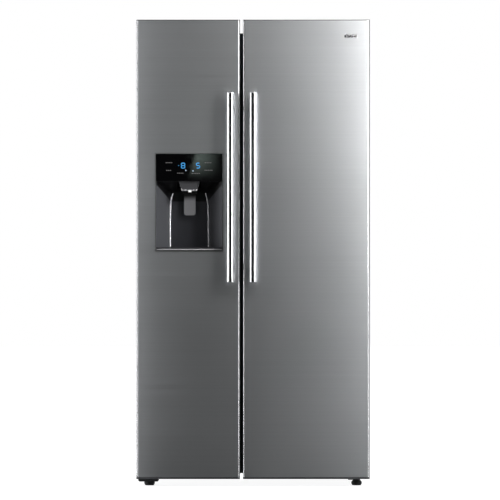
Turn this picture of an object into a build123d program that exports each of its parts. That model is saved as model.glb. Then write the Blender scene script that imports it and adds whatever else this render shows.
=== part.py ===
"""Side by side refrigerator: cabinet, freezer door with ice and water dispenser, refrigerator door,
cooling system, shelves, drawers and ice maker, each piece a solid of its own.

Millimetres. +Z up, -Y is the front (the doors), +X to the right seen from the front.
Origin: middle of the footprint, on the floor.
"""
import math
import os

from build123d import *

os.makedirs("parts", exist_ok=True)

# ---------------------------------------------------------------- driving dimensions
W = 895.0            # overall width over the doors
H = 1788.0           # overall height to the top of the doors
DEPTH = 745.0        # overall depth, handles to rear wall spacers
HANDLE_OUT = 60.0    # handle stand-off, door face to front of bar
DOOR_T = 64.5        # door thickness
GASKET_T = 9.7       # squeezed gasket
GAP = 11.5           # gap between the two doors
FREEZER_DOOR_W = 397.5
DOOR_Z0, DOOR_Z1 = 28.0, H
BODY_Z0, BODY_Z1 = 44.0, 1736.0      # thick part of a door, between the hinge arms
CAB_Z0, CAB_Z1 = 48.0, 1738.0
CAB_X = 445.0
SHEET = 1.0          # sheet steel

Y0 = -DEPTH / 2                      # front of the handles
YF = Y0 + HANDLE_OUT                 # door face
YB = YF + DOOR_T                     # door back plane
YC = YB + 10.0                       # cabinet front plane
YR = 357.5                           # back of the cabinet
YMAX = DEPTH / 2                     # rear wall spacers

FX0, FX1 = -W / 2, -W / 2 + FREEZER_DOOR_W       # freezer door
RX0, RX1 = FX1 + GAP, W / 2                      # refrigerator door
AX, AY = 429.0, YF + 42.5            # hinge axis
PIN_R, BORE_R = 5.0, 5.06
LIP = 16.0                           # thickness of the door in front of the hinge notches
NOTCH = 41.0                         # width of the hinge notches at the doors' outer corners
NOSE = 14.0                          # half width of the hinge cover over the arm
EDGE_R = 8.0                         # rounding of the doors' front vertical edges

# compartments, inner faces
FZ_X0, FZ_X1 = -390.0, -79.0
RF_X0, RF_X1 = -9.0, 395.0
CZ0, CZ1 = 105.0, 1683.0
CY1 = 300.0
STEP_Y, STEP_Z = 120.0, 300.0        # step over the machine compartment
LINER = 2.0
MC_Y, MC_Z = 165.0, 250.0            # machine compartment

SHELF_Y0 = YC + 90.0                 # front edge of shelves and drawers
SHELF_Y1 = 280.0
YD = YC + 20.0                       # tip of the door dykes


# ---------------------------------------------------------------- helpers
def bx(x0, x1, y0, y1, z0, z1):
    return Pos((x0 + x1) / 2, (y0 + y1) / 2, (z0 + z1) / 2) * Box(x1 - x0, y1 - y0, z1 - z0)


def cz(x, y, z0, z1, r):
    return Pos(x, y, (z0 + z1) / 2) * Cylinder(r, z1 - z0)


def cx(x0, x1, y, z, r):
    return Pos((x0 + x1) / 2, y, z) * Rot(0, 90, 0) * Cylinder(r, x1 - x0)


def cy(x, y0, y1, z, r):
    return Pos(x, (y0 + y1) / 2, z) * Rot(90, 0, 0) * Cylinder(r, y1 - y0)


def prism_x(pts, x0, x1):
    face = make_face(Polyline(*[(x0, y, z) for y, z in pts], close=True))
    return extrude(face, amount=x1 - x0, dir=(1, 0, 0))


def prism_z(pts, z0, z1):
    face = make_face(Polyline(*[(x, y, z0) for x, y in pts], close=True))
    return extrude(face, amount=z1 - z0, dir=(0, 0, 1))


def vert(b):
    return b.edges().filter_by(Axis.Z)


def front_round(x0, x1, y0, y1, z0, z1, r):
    b = bx(x0, x1, y0, y1, z0, z1)
    return fillet(vert(b).sort_by(Axis.Y)[:2], r)


def ring(x0, x1, z0, z1, w, y0, y1):
    return bx(x0, x1, y0, y1, z0, z1) - bx(x0 + w, x1 - w, y0 - 1, y1 + 1, z0 + w, z1 - w)


def save(name, *shapes):
    solids = []
    for s in shapes:
        solids += list(s.solids())
    export_step(Compound(children=[Solid(s.wrapped) for s in solids]) if len(solids) > 1 else Solid(solids[0].wrapped), f"parts/{name}.step")


for old in os.listdir("parts"):
    if old.endswith(".step"):
        os.remove(os.path.join("parts", old))

# ---------------------------------------------------------------- cabinet shells
# side panels and top panel, each a flat sheet
save("cabinet_shell",
     bx(-CAB_X, -CAB_X + SHEET, YC + SHEET, YR - SHEET, CAB_Z0, CAB_Z1 - SHEET),
     bx(CAB_X - SHEET, CAB_X, YC + SHEET, YR - SHEET, CAB_Z0, CAB_Z1 - SHEET),
     bx(-CAB_X, CAB_X, YC + SHEET, YR - SHEET, CAB_Z1 - SHEET, CAB_Z1))

save("back_panel", bx(-CAB_X, CAB_X, YR - SHEET, YR, MC_Z, CAB_Z1))

frame = bx(-CAB_X, CAB_X, YC, YC + SHEET, CAB_Z0, CAB_Z1)
frame -= bx(FZ_X0, FZ_X1, YC - 1, YC + 2, CZ0, CZ1)
frame -= bx(RF_X0, RF_X1, YC - 1, YC + 2, CZ0, CZ1)
save("front_frame", frame)

# bottom pan, bent up over the machine compartment
yi, zi = MC_Y, MC_Z
save("bottom_pan", prism_x(
    [(YC + 1, CAB_Z0), (yi, CAB_Z0), (yi, zi), (YR - 1, zi), (YR - 1, zi + 1), (yi - 1, zi + 1), (yi - 1, CAB_Z0 + 1), (YC + 1, CAB_Z0 + 1)],
    -CAB_X + SHEET, CAB_X - SHEET))

# ---------------------------------------------------------------- liners
SHELVES_F = [750.0, 1060.0]                       # shelf undersides, freezer
ICE_SHELF = 1399.0
SHELVES_R = [600.0, 880.0, 1150.0]               # refrigerator; the first covers the crispers
RF_TOP_SHELF = 1405.0
RIB = 8.0


def liner(x0, x1, rib_z, rail_z, rib_y1):
    t = LINER
    outer = prism_x([(YC + 1, CZ0 - t), (STEP_Y + t, CZ0 - t), (STEP_Y + t, STEP_Z - t), (CY1 + t, STEP_Z - t), (CY1 + t, CZ1 + t), (YC + 1, CZ1 + t)], x0 - t, x1 + t)
    inner = prism_x([(YC, CZ0), (STEP_Y, CZ0), (STEP_Y, STEP_Z), (CY1, STEP_Z), (CY1, CZ1), (YC, CZ1)], x0, x1)
    s = outer - inner
    for z in rib_z:
        for a, b in ((x0 - 1, x0 + RIB), (x1 - RIB, x1 + 1)):
            s += bx(a, b, SHELF_Y0 + 15, rib_y1, z - 10, z)
    for z in rail_z:
        y1 = STEP_Y - 2 if z < 395 else rib_y1
        for a, b in ((x0 - 1, x0 + RIB), (x1 - RIB, x1 + 1)):
            s += bx(a, b, SHELF_Y0 + 15, y1, z - 6, z)
    return s


F_RAILS = [390.0, 712.0]
R_RAILS = [338.0, 572.0]
save("freezer_liner", liner(FZ_X0, FZ_X1, SHELVES_F + [ICE_SHELF], F_RAILS, 215))
save("fridge_liner", liner(RF_X0, RF_X1, SHELVES_R + [RF_TOP_SHELF], R_RAILS, 270))

# ---------------------------------------------------------------- insulation, cast round the liners
fx0, fx1, rx0, rx1 = FZ_X0 - LINER, FZ_X1 + LINER, RF_X0 - LINER, RF_X1 + LINER
ya, ym, yz = YC + 1, MC_Y - 1, YR - 1
xs = CAB_X - 1
zb, zl, zt = CAB_Z0 + 1, MC_Z + 1, CZ1 + LINER
foam = []
for a, b in ((-xs, fx0), (fx1, rx0), (rx1, xs)):
    foam.append(bx(a, b, ya, ym, zb, zl))
    foam.append(bx(a, b, ya, yz, zl, zt))
for a, b in ((fx0, fx1), (rx0, rx1)):
    foam.append(bx(a, b, ya, ym, zb, CZ0 - LINER))
    foam.append(bx(a, b, STEP_Y + LINER, ym, CZ0 - LINER, zl))
    foam.append(bx(a, b, STEP_Y + LINER, yz, zl, STEP_Z - LINER))
    foam.append(bx(a, b, CY1 + LINER, yz, STEP_Z - LINER, zt))
foam.append(bx(-xs, xs, ya, yz, zt, CAB_Z1 - 1))
save("cabinet_insulation", *foam)


# ---------------------------------------------------------------- hinges
def upper_hinge(s):
    x = s * AX
    arm = bx(min(x - 10, x + 10), max(x - 10, x + 10), AY, YC + 8, CAB_Z1, CAB_Z1 + 4) + cz(x, AY, CAB_Z1, CAB_Z1 + 4, 10)
    base = bx(*sorted((s * 361, s * 439)), YC + 8, YC + 66, CAB_Z1, CAB_Z1 + 4)
    base = fillet(vert(base), 6)
    plate = arm + base
    pin = cz(x, AY, CAB_Z1 - 21, CAB_Z1, PIN_R)
    return plate + pin


save("upper_hinges", upper_hinge(-1), upper_hinge(1))

screws = []
for s in (-1, 1):
    for dx, dy in ((376, YC + 22), (376, YC + 52), (424, YC + 37)):
        head = cz(s * dx, dy, CAB_Z1 + 4, CAB_Z1 + 8.5, 5.5)
        head -= Pos(s * dx, dy, CAB_Z1 + 7.5) * extrude(RegularPolygon(2.6, 6), 3)
        screws.append(head)
    for dx in (380, 417):
        head = cz(s * dx, -166, 34.5, 38, 5.5)
        head -= Pos(s * dx, -166, 33.5) * extrude(RegularPolygon(2.6, 6), 2.5)
        screws.append(head)
save("hinge_screws", *screws)


def hinge_cover(s):
    a, b = sorted((s * 350, s * 443.5))
    x = s * AX
    o = bx(a, b, YC + 3, YC + 84, CAB_Z1, CAB_Z1 + 32)
    o = fillet(vert(o), 6)
    o += bx(x - NOSE, x + NOSE, AY, YC + 12, CAB_Z1, CAB_Z1 + 32) + cz(x, AY, CAB_Z1, CAB_Z1 + 32, NOSE)
    o = chamfer(o.faces().sort_by(Axis.Z)[-1].edges(), 2)
    o -= bx(a + 2, b - 2, YC + 5, YC + 82, CAB_Z1 - 1, CAB_Z1 + 29.5)
    o -= bx(x - NOSE + 2, x + NOSE - 2, AY, YC + 12, CAB_Z1 - 1, CAB_Z1 + 29.5) + cz(x, AY, CAB_Z1 - 1, CAB_Z1 + 29.5, NOSE - 2)
    return o


save("hinge_covers", hinge_cover(-1), hinge_cover(1))

FOOT_X, FOOT_Y = 398.5, -200.0


def lower_hinge(s):
    x = s * AX
    arm = bx(x - 10, x + 10, AY, -150, 38, 42) + cz(x, AY, 38, 42, 10)
    plate = bx(*sorted((s * 356, s * 441)), YC + 4, -150, 38, 42)
    block = bx(*sorted((s * 356, s * 441)), YC + 4, -150, 42, CAB_Z0)
    solid = arm + plate + block
    solid += cz(x, AY, 42, 62, PIN_R) + cz(x, AY, 42, 43.7, 9)
    solid += cz(x, AY, 26, 38, 4.5)
    solid -= cz(s * FOOT_X, FOOT_Y, 20, 60, 4.06)
    return solid


left = lower_hinge(-1)
shoe = bx(-440, -362, -296, -160, 18, 26.8)
shoe = chamfer(shoe.edges().filter_by(Axis.Y).sort_by(Axis.Z)[:2], 4)
shoe -= cz(-FOOT_X, FOOT_Y, 0, 40, 21.5)
legs = bx(-440, -430, -225, -160, 26.8, 38) + bx(-372, -362, -225, -160, 26.8, 38)
left = left + shoe + legs
save("lower_hinge_left", left)
save("lower_hinge_right", lower_hinge(1))


def foot(s):
    prof = [(0, 0), (15, 0), (18, 2), (20.5, 8), (20.5, 13), (18, 17), (13.5, 21), (13.5, 28), (4, 28), (4, 47), (0, 47)]
    face = make_face(Polyline(*[(x, 0, z) for x, z in prof], close=True))
    f = revolve(face, Axis.Z)
    for k in range(4):
        f -= Rot(0, 0, 90 * k) * bx(17.4, 22, -2, 2, 6, 15)
    return Pos(s * FOOT_X, FOOT_Y, 0) * f


save("leveling_foot_left", foot(-1))
save("leveling_foot_right", foot(1))

# ---------------------------------------------------------------- rear rollers and compressor base
ROL_X, ROL_Y, ROL_R = 385.0, 300.0, 20.0
for s, n in ((-1, "left"), (1, "right")):
    r = cx(s * ROL_X - 11, s * ROL_X + 11, ROL_Y, ROL_R, ROL_R)
    r = fillet(r.edges().filter_by(GeomType.CIRCLE), 2.5)
    r += cx(s * ROL_X - 18, s * ROL_X + 18, ROL_Y, ROL_R, 4.0)
    save(f"rear_roller_{n}", r)
ears = []
for s in (-1, 1):
    for d in (-15.5, 15.5):
        c = s * ROL_X + d
        e = bx(c - 1.5, c + 1.5, ROL_Y - 15, ROL_Y + 15, 12, CAB_Z0)
        e -= cx(c - 3, c + 3, ROL_Y, ROL_R, 4.06)
        ears.append(e)
base = bx(-442, 442, MC_Y + 1, YR - 3, CAB_Z0, CAB_Z0 + 2)
save("compressor_base", base, *ears)

# ---------------------------------------------------------------- machine compartment
CX_, CY_ = 235.0, 262.0
body = Pos(CX_, CY_, 130) * Cylinder(74, 128)
body = fillet(body.edges().filter_by(GeomType.CIRCLE).sort_by(Axis.Z)[-1:], 34)
body = fillet(body.edges().filter_by(GeomType.CIRCLE).sort_by(Axis.Z)[:1], 14)
seam = cz(CX_, CY_, 118, 126, 76.5)
body = body + seam
feet_plate = bx(CX_ - 88, CX_ + 88, CY_ - 55, CY_ + 55, 62, 66)
feet_plate = fillet(vert(feet_plate), 12)
comp = [body, feet_plate]
for dx in (-74, 74):
    for dy in (-42, 42):
        comp.append(cz(CX_ + dx, CY_ + dy, CAB_Z0 + 2, 62, 11))
relay = bx(CX_ + 76.5, CX_ + 104, CY_ - 30, CY_ + 30, 100, 165)
relay -= cz(CX_, CY_, 90, 170, 76.5)
comp.append(fillet(relay.edges().filter_by(Axis.Z).sort_by(Axis.X)[-2:], 6))
for dy, z1 in ((-28, 232), (28, 222)):
    comp.append(cz(CX_ - 15, CY_ + dy, 192, z1, 4))
save("compressor", *comp)

# condenser: two rows of tubes through a pack of plates
tubes = None
for j, y in enumerate((225, 275)):
    for k in range(5):
        t = cx(-395, -150, y, 80 + 32 * k, 4)
        tubes = t if tubes is None else tubes + t
for y in (225, 275):
    for k in range(4):
        z = 96 + 32 * k
        s, x = (1, -150) if k % 2 == 0 else (-1, -395)
        bend = Pos(x, y, z) * Rot(90, 0, 0) * Torus(16, 4)
        half = bx(*sorted((x, x + s * 30)), y - 8, y + 8, z - 25, z + 25)
        tubes += bend & half
for k in range(16):
    x = -380 + 14 * k
    tubes += bx(x, x + 0.8, 205, 295, 62, 226)
save("condenser", tubes)

# condenser fan, axis along X
FAN_X, FAN_Y, FAN_Z = -55.0, 255.0, 148.0


def blades(r_hub, r_tip, n, chord, t, pitch):
    out = None
    for k in range(n):
        b = Pos(0, 0, (r_hub + r_tip) / 2 - 1) * Rot(0, 0, pitch) * Box(t, chord, r_tip - r_hub + 2)
        b = Rot(360 / n * k, 0, 0) * b
        out = b if out is None else out + b
    return out


fan = Rot(0, 90, 0) * Cylinder(20, 22) + blades(18, 62, 5, 42, 1.8, 32)
shaft = Pos(-24, 0, 0) * Rot(0, 90, 0) * Cylinder(2.5, 30)
save("condenser_fan", Pos(FAN_X, FAN_Y, FAN_Z) * (fan + shaft))
motor = cx(FAN_X - 62, FAN_X - 16, FAN_Y, FAN_Z, 24) - cx(FAN_X - 42, FAN_X - 10, FAN_Y, FAN_Z, 2.56)
stand = bx(FAN_X - 55, FAN_X - 30, FAN_Y - 18, FAN_Y + 18, CAB_Z0 + 2, FAN_Z)
stand -= cx(FAN_X - 62, FAN_X - 16, FAN_Y, FAN_Z, 24)
shroud = bx(FAN_X - 8, FAN_X + 10, MC_Y + 3, YR - 6, CAB_Z0 + 2, MC_Z - 2) - cx(FAN_X - 12, FAN_X + 18, FAN_Y, FAN_Z, 68)
save("condenser_fan_motor", motor, stand, shroud)

# rear cover of the machine compartment, with slots, cord collar and wall spacers
cover = bx(-CAB_X + SHEET, CAB_X - SHEET, YR - 2, YR, CAB_Z0 + 2, MC_Z)
for side in (-1, 1):
    for r in range(8):
        for c in range(6):
            xx = side * 255 + (c - 2.5) * 48
            cover -= bx(xx - 18, xx + 18, YR - 4, YR + 2, 92 + r * 16, 98 + r * 16)
cover -= cy(20, YR - 5, YR + 5, 90, 9)
collar = cy(20, YR - 8, YR + 10, 90, 9) - cy(20, YR - 10, YR + 12, 90, 4.5)
cover -= cy(-20, YR - 5, YR + 5, 205, 17)
spacers = []
for s in (-1, 1):
    sp = bx(*sorted((s * 400, s * 430)), YR, YMAX, 175, 235)
    spacers.append(fillet(sp.edges().filter_by(Axis.Y), 8))
save("machine_cover", cover, collar, *spacers)

# water inlet valve: body inside, threaded spigot through the cover
valve = bx(-42, 2, 300, YR - 5, 186, 224)
valve += cy(-20, YR - 5, YR + 1, 205, 16)
spig = cy(-20, YR + 1, YR + 14, 205, 13.2)
valve += spig
valve -= cy(-20, YR - 20, YR + 15, 205, 8)
coil = cz(-20, 318, 224, 246, 13)
save("water_inlet_valve", valve, coil)

# ---------------------------------------------------------------- evaporator side
plate = bx(FZ_X0 + 3, FZ_X1 - 3, 224, 227, STEP_Z + 6, CZ1 - 6)
EV_FX, EV_FZ = (FZ_X0 + FZ_X1) / 2, 1230.0
plate -= cy(EV_FX, 220, 230, EV_FZ, 60)
for k in range(-3, 4):
    plate += bx(EV_FX - 61, EV_FX + 61, 224, 227, EV_FZ + k * 17 - 2.5, EV_FZ + k * 17 + 2.5) & cy(EV_FX, 220, 230, EV_FZ, 60.5)
plate += bx(EV_FX - 2.5, EV_FX + 2.5, 224, 227, EV_FZ - 60.5, EV_FZ + 60.5)
for r, z in enumerate((420, 450, 900, 930, 1460, 1490)):
    for c in range(5):
        xx = EV_FX + (c - 2) * 52
        plate -= bx(xx - 18, xx + 18, 220, 230, z - 4, z + 4)
save("evaporator_cover", plate)

ev = None
for k in range(8):
    t = cx(-358, -112, 268, 420 + 50 * k, 4)
    ev = t if ev is None else ev + t
for k in range(7):
    z = 445 + 50 * k
    s, x = (1, -112) if k % 2 == 0 else (-1, -358)
    bend = Pos(x, 268, z) * Rot(90, 0, 0) * Torus(25, 4)
    ev += bend & bx(*sorted((x, x + s * 36)), 260, 276, z - 34, z + 34)
for k in range(18):
    x = -350 + 13.6 * k
    ev += bx(x, x + 0.8, 244, 292, 400, 790)
save("evaporator_coil", ev)

efan = Rot(90, 0, 0) * Cylinder(16, 18)
eb = None
for k in range(5):
    b = Pos(0, 0, 33) * Rot(0, 0, 32) * Box(34, 1.8, 36)
    b = Rot(0, 72 * k, 0) * b
    eb = b if eb is None else eb + b
eshaft = Pos(0, 20, 0) * Rot(90, 0, 0) * Cylinder(2.5, 26)
save("evaporator_fan", Pos(EV_FX, 244, EV_FZ) * (efan + eb + eshaft))
emot = cy(EV_FX, 259, 288, EV_FZ, 22) - cy(EV_FX, 250, 280, EV_FZ, 2.56)
ebar = bx(EV_FX - 110, EV_FX + 110, 288, 299.5, EV_FZ - 9, EV_FZ + 9)
save("evaporator_fan_motor", emot, ebar)

# ---------------------------------------------------------------- shelves


def shelf(x0, x1, z, y1=SHELF_Y1):
    g = bx(x0 + 3, x1 - 3, SHELF_Y0 + 9, y1 - 8, z, z + 4)
    front = bx(x0 + 3, x1 - 3, SHELF_Y0, SHELF_Y0 + 9, z - 5, z + 9)
    front = fillet(front.edges().filter_by(Axis.X).sort_by(Axis.Y)[:2], 3)
    rear = bx(x0 + 3, x1 - 3, y1 - 8, y1, z, z + 12)
    return [g, front, rear]


save("freezer_shelves", *[b for z in SHELVES_F for b in shelf(FZ_X0, FZ_X1, z, 215)])
save("crisper_cover_shelf", *shelf(RF_X0, RF_X1, SHELVES_R[0]))
save("fridge_shelves", *[b for z in SHELVES_R[1:] + [RF_TOP_SHELF] for b in shelf(RF_X0, RF_X1, z)])

duct = bx(130, 256, 284, 299.8, 640, 1620)
duct = fillet(duct.edges().filter_by(Axis.Z).sort_by(Axis.Y)[:2], 8)
for z in (700, 960, 1240, 1500):
    for k in range(4):
        duct -= bx(150, 236, 280, 290, z + k * 14, z + k * 14 + 6)
save("fridge_air_duct", duct)


# ---------------------------------------------------------------- drawers
def drawer(x0, x1, y0, y1, z0, z1, t=2.5):
    g = 11.0
    b = bx(x0 + g, x1 - g, y0, y1, z0, z1) - bx(x0 + g + t, x1 - g - t, y0 + 4, y1 - t, z0 + t, z1 + 1)
    for a, c in ((x0 + 1, x0 + g + 1), (x1 - g - 1, x1 - 1)):
        b += bx(a, c, y0 + 16, y1, z1 - 3, z1)
    front = bx(x0 + 3, x1 - 3, y0 - 3, y0 + 4, z0, z1 + 14)
    front = fillet(front.edges().filter_by(Axis.Y), 6)
    b += front
    grip = bx((x0 + x1) / 2 - 70, (x0 + x1) / 2 + 70, y0 - 3.5, y0 + 1, z1 - 26, z1 - 8)
    b -= fillet(grip.edges().filter_by(Axis.Y), 7)
    return b


DY0 = SHELF_Y0 + 4
save("freezer_drawer_upper", drawer(FZ_X0, FZ_X1, DY0, 212, 412, F_RAILS[1] + 3.3))
save("freezer_drawer_lower", drawer(FZ_X0, FZ_X1, DY0, STEP_Y - 4, CZ0 + 4, F_RAILS[0] + 3.3))
save("crisper_upper", drawer(RF_X0, RF_X1, DY0, 268, 362, R_RAILS[1] + 3.3))
save("crisper_lower", drawer(RF_X0, RF_X1, DY0, STEP_Y - 4, CZ0 + 4, R_RAILS[0] + 3.3))

# ---------------------------------------------------------------- ice maker, bucket and auger
XC = -245.0                                       # centre of the dispenser
mould = bx(XC - 55, XC + 55, -40, 190, 1592, 1630)
for k in range(7):
    y = -26 + 31 * k
    mould -= (Pos(XC, y + 12, 1636) * Rot(90, 0, 0) * Cylinder(34, 26)) & bx(XC - 50, XC + 50, y - 2, y + 26, 1598, 1640)
gear = bx(XC - 62, XC + 62, -88, -40, 1570, 1665)
gear = fillet(gear.edges().filter_by(Axis.Y), 8)
hang = bx(XC - 55, XC - 49, -40, 190, 1630, CZ1 - 0.5) + bx(XC + 49, XC + 55, -40, 190, 1630, CZ1 - 0.5)
fill_cup = bx(XC - 25, XC + 25, 190, 222, 1615, 1665) - bx(XC - 21, XC + 21, 186, 218, 1622, 1670)
save("ice_maker", mould, gear, hang, fill_cup)

BK = dict(x0=-356.0, x1=-119.0, y0=-208.0, y1=200.0, z0=ICE_SHELF + 6, z1=1562.0)
bucket = bx(BK["x0"], BK["x1"], BK["y0"], BK["y1"], BK["z0"], BK["z1"]) - bx(
    BK["x0"] + 3, BK["x1"] - 3, BK["y0"] + 3, BK["y1"] - 3, BK["z0"] + 3, BK["z1"] + 1)
bucket -= bx(XC - 34, XC + 34, -200, -160, BK["z0"] - 1, BK["z0"] + 4)
skid = bx(FZ_X0 + 1, BK["x0"] + 1, -130, 195, ICE_SHELF + 0.3, BK["z0"] + 12) + bx(BK["x1"] - 1, FZ_X1 - 1, -130, 195, ICE_SHELF + 0.3, BK["z0"] + 12)
bucket += skid
AUG_Z = BK["z0"] + 52
bucket -= cy(XC, BK["y1"] - 6, BK["y1"] + 2, AUG_Z, 5.06)
save("ice_bucket", bucket)
aug = cy(XC, -196, 212, AUG_Z, 5.0)
for k in range(12):
    y = -170 + 30 * k
    aug += Pos(XC, y, AUG_Z) * Rot(0, 35 * k, 0) * Pos(0, 0, 20) * Rot(0, 0, 25) * Box(16, 4, 46)
save("ice_auger", aug)

# ---------------------------------------------------------------- doors
DIS_X = 127.0                                     # half width of the dispenser opening
DIS_Z0, DIS_ZM, DIS_Z1 = 907.0, 1171.0, 1273.6    # recess floor, bottom and top of the panel
HB = YF + 80.0                                    # back wall of the recess


def notch(x0, x1, hx, z0, z1):
    if hx < 0:
        return bx(x0 - 1, x0 + NOTCH, YF + LIP, YB + 1, z0, z1)
    return bx(x1 - NOTCH, x1 + 1, YF + LIP, YB + 1, z0, z1)


def skin(x0, x1, hx):
    o = front_round(x0, x1, YF, YB - 3, DOOR_Z0 + 8, DOOR_Z1 - 3, EDGE_R)
    i = front_round(x0 + SHEET, x1 - SHEET, YF + SHEET, YB, DOOR_Z0, DOOR_Z1, EDGE_R - 1)
    s = o - i
    s -= notch(x0, x1, hx, BODY_Z1, DOOR_Z1 + 1)
    s -= notch(x0, x1, hx, DOOR_Z0 - 1, BODY_Z0)
    return s


def end_block(x0, x1, hx, z0, z1, r):
    # front strip over the full width, and the part behind it clear of the hinge notch
    f = front_round(x0, x1, YF + (8 - r), YF + LIP, z0, z1, r)
    if hx < 0:
        return f, bx(x0 + NOTCH + (r - 8), x1, YF + LIP, YB - 3, z0, z1)
    return f, bx(x0, x1 - NOTCH - (r - 8), YF + LIP, YB - 3, z0, z1)


def caps(x0, x1, hx):
    # end blocks above and below the hinge plates, then the plates with the hinge bushes
    out = []
    out += end_block(x0, x1, hx, DOOR_Z1 - 3, DOOR_Z1, EDGE_R)
    out += end_block(x0 + SHEET, x1 - SHEET, hx, BODY_Z1, DOOR_Z1 - 3, EDGE_R - 1)
    out += end_block(x0, x1, hx, DOOR_Z0, DOOR_Z0 + 8, EDGE_R)
    out += end_block(x0 + SHEET, x1 - SHEET, hx, DOOR_Z0 + 8, BODY_Z0, EDGE_R - 1)
    tp = front_round(x0 + SHEET, x1 - SHEET, YF + SHEET, YB - 3, BODY_Z1 - 4, BODY_Z1, EDGE_R - 1)
    tp += cz(hx, AY, BODY_Z1 - 26, BODY_Z1 - 4, 9)
    tp -= cz(hx, AY, BODY_Z1 - 22, BODY_Z1 + 1, BORE_R)
    bp = front_round(x0 + SHEET, x1 - SHEET, YF + SHEET, YB - 3, BODY_Z0, BODY_Z0 + 4, EDGE_R - 1)
    bp += cz(hx, AY, BODY_Z0 + 4, BODY_Z0 + 26, 9)
    bp -= cz(hx, AY, BODY_Z0 - 1, BODY_Z0 + 22, BORE_R)
    return out + [tp, bp]


def gasket(x0, x1):
    g = ring(x0, x1, 68, 1718, 18, YB, YB + GASKET_T)
    g -= ring(x0 - 1, x1 + 1, 67, 1719, 5, YB + 3, YB + 6)
    g -= ring(x0 + 14, x1 - 14, 82, 1704, 5, YB + 3, YB + 6)
    return g


def pocket(hx, z0, z1):
    return cz(hx, AY, z0, z1, 9)


FD = dict(x0=-382.0, x1=-93.0, z0=113.0, z1=1675.0)     # dyke ring, freezer
RD = dict(x0=5.0, x1=387.0, z0=113.0, z1=1675.0)        # refrigerator
WD = 22.0
T = 2.5


def door_bars(d):
    a, b, c, e = d["x0"] + T, d["x1"] - T, d["z0"] + T, d["z1"] - T
    w = WD - 2 * T
    y0, y1 = YB - 3, YD - T
    return [bx(a, a + w, y0, y1, c, e), bx(b - w, b, y0, y1, c, e),
            bx(a + w, b - w, y0, y1, c, c + w), bx(a + w, b - w, y0, y1, e - w, e)]


def liner_plate(x0, x1, d, hx):
    p = bx(x0, x1, YB - 3, YB, DOOR_Z0, DOOR_Z1)
    p -= notch(x0, x1, hx, BODY_Z1, DOOR_Z1 + 1) + notch(x0, x1, hx, DOOR_Z0 - 1, BODY_Z0)
    p += ring(d["x0"], d["x1"], d["z0"], d["z1"], WD, YB - 1, YD)
    return p


def lugs(d, zs):
    out = []
    for z in zs:
        for a, b in ((d["x0"] + WD - 1, d["x0"] + WD + 10), (d["x1"] - WD - 10, d["x1"] - WD + 1)):
            out.append(bx(a, b, YB - 1, YD - 4, z - 8, z))
    return out


# freezer door
BUL_Z0, BUL_Z1, BUL_Y = 870.0, 1395.0, YC + 29.0       # bulge behind the recess
BUL_X0, BUL_X1 = -345.0, -145.0
CH_Y = YC + 74.0                                         # mouth of the ice duct
f_foam = [
    bx(FX0 + 1, FX1 - 1, YF + 1, YB - 3, BODY_Z0 + 4, 900),
    bx(FX0 + 1, FX1 - 1, YF + 1, YB - 3, 1380, BODY_Z1 - 4),
    bx(FX0 + 1, XC - 132, YF + 1, YB - 3, 900, 1277),
    bx(XC + 132, FX1 - 1, YF + 1, YB - 3, 900, 1277),
    bx(FX0 + 1, XC - 37, YF + 1, YB - 3, 1277, 1380),
    bx(XC + 37, FX1 - 1, YF + 1, YB - 3, 1277, 1380),
]
f_foam[0] = f_foam[0] - pocket(-AX, 40, BODY_Z0 + 26)
f_foam[1] = f_foam[1] - pocket(-AX, BODY_Z1 - 26, BODY_Z1)
f_clip = front_round(FX0 + 1, FX1 - 1, YF + 1, YB, 0, H, EDGE_R - 1)
f_foam = [(b & f_clip) for b in f_foam]
f_bars = door_bars(FD)
f_back = [bx(BUL_X0 + T, BUL_X1 - T, HB + 3, BUL_Y - T, BUL_Z0 + T, 1150),
          bx(BUL_X0 + T, XC - 37, YB - 3, BUL_Y - T, 1150, BUL_Z1 - T),
          bx(XC + 37, BUL_X1 - T, YB - 3, BUL_Y - T, 1150, BUL_Z1 - T)]
save("freezer_door_foam", *f_foam, *f_bars, *f_back)

liner_f = liner_plate(FX0, FX1, FD, -AX)
for b in f_bars:
    liner_f -= b
liner_f += bx(BUL_X0, BUL_X1, YB - 1, BUL_Y, BUL_Z0, BUL_Z1)
liner_f -= bx(BUL_X0 + T, BUL_X1 - T, YB - 4, BUL_Y - T, BUL_Z0 + T, BUL_Z1 - T)
liner_f += bx(XC - 45, XC + 45, BUL_Y - 1, CH_Y, 1262, BUL_Z1)
liner_f -= bx(XC - 42.5, XC + 42.5, YB - 4, CH_Y - T, 1264.5, BUL_Z1 - T)
liner_f -= bx(XC - 33, XC + 33, CH_Y - 42, CH_Y - 6, 1380, BUL_Z1 + 1)
for l in lugs(FD, (745.0,)):
    liner_f += l
save("freezer_door_liner", liner_f)
save("freezer_door_gasket", gasket(-424, -58))
save("freezer_door_caps", *caps(FX0, FX1, -AX))
fskin = skin(FX0, FX1, -AX) - bx(XC - DIS_X - 2.3, XC + DIS_X + 2.3, YF - 1, YF + 3, 902.5, 1275.5)
save("freezer_door_skin", fskin)

# fridge door
r_foam = bx(RX0 + 1, RX1 - 1, YF + 1, YB - 3, BODY_Z0 + 4, BODY_Z1 - 4) & front_round(RX0 + 1, RX1 - 1, YF + 1, YB, 0, H, EDGE_R - 1)
r_foam -= pocket(AX, 40, BODY_Z0 + 26)
r_foam -= pocket(AX, BODY_Z1 - 26, BODY_Z1)
r_bars = door_bars(RD)
save("fridge_door_foam", r_foam, *r_bars)
liner_r = liner_plate(RX0, RX1, RD, AX)
for b in r_bars:
    liner_r -= b
BIN_Z = [650.0, 915.0, 1180.0, 1440.0]
for l in lugs(RD, BIN_Z):
    liner_r += l
save("fridge_door_liner", liner_r)
save("fridge_door_gasket", gasket(-31, 424))
save("fridge_door_caps", *caps(RX0, RX1, AX))
save("fridge_door_skin", skin(RX0, RX1, AX))


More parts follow.
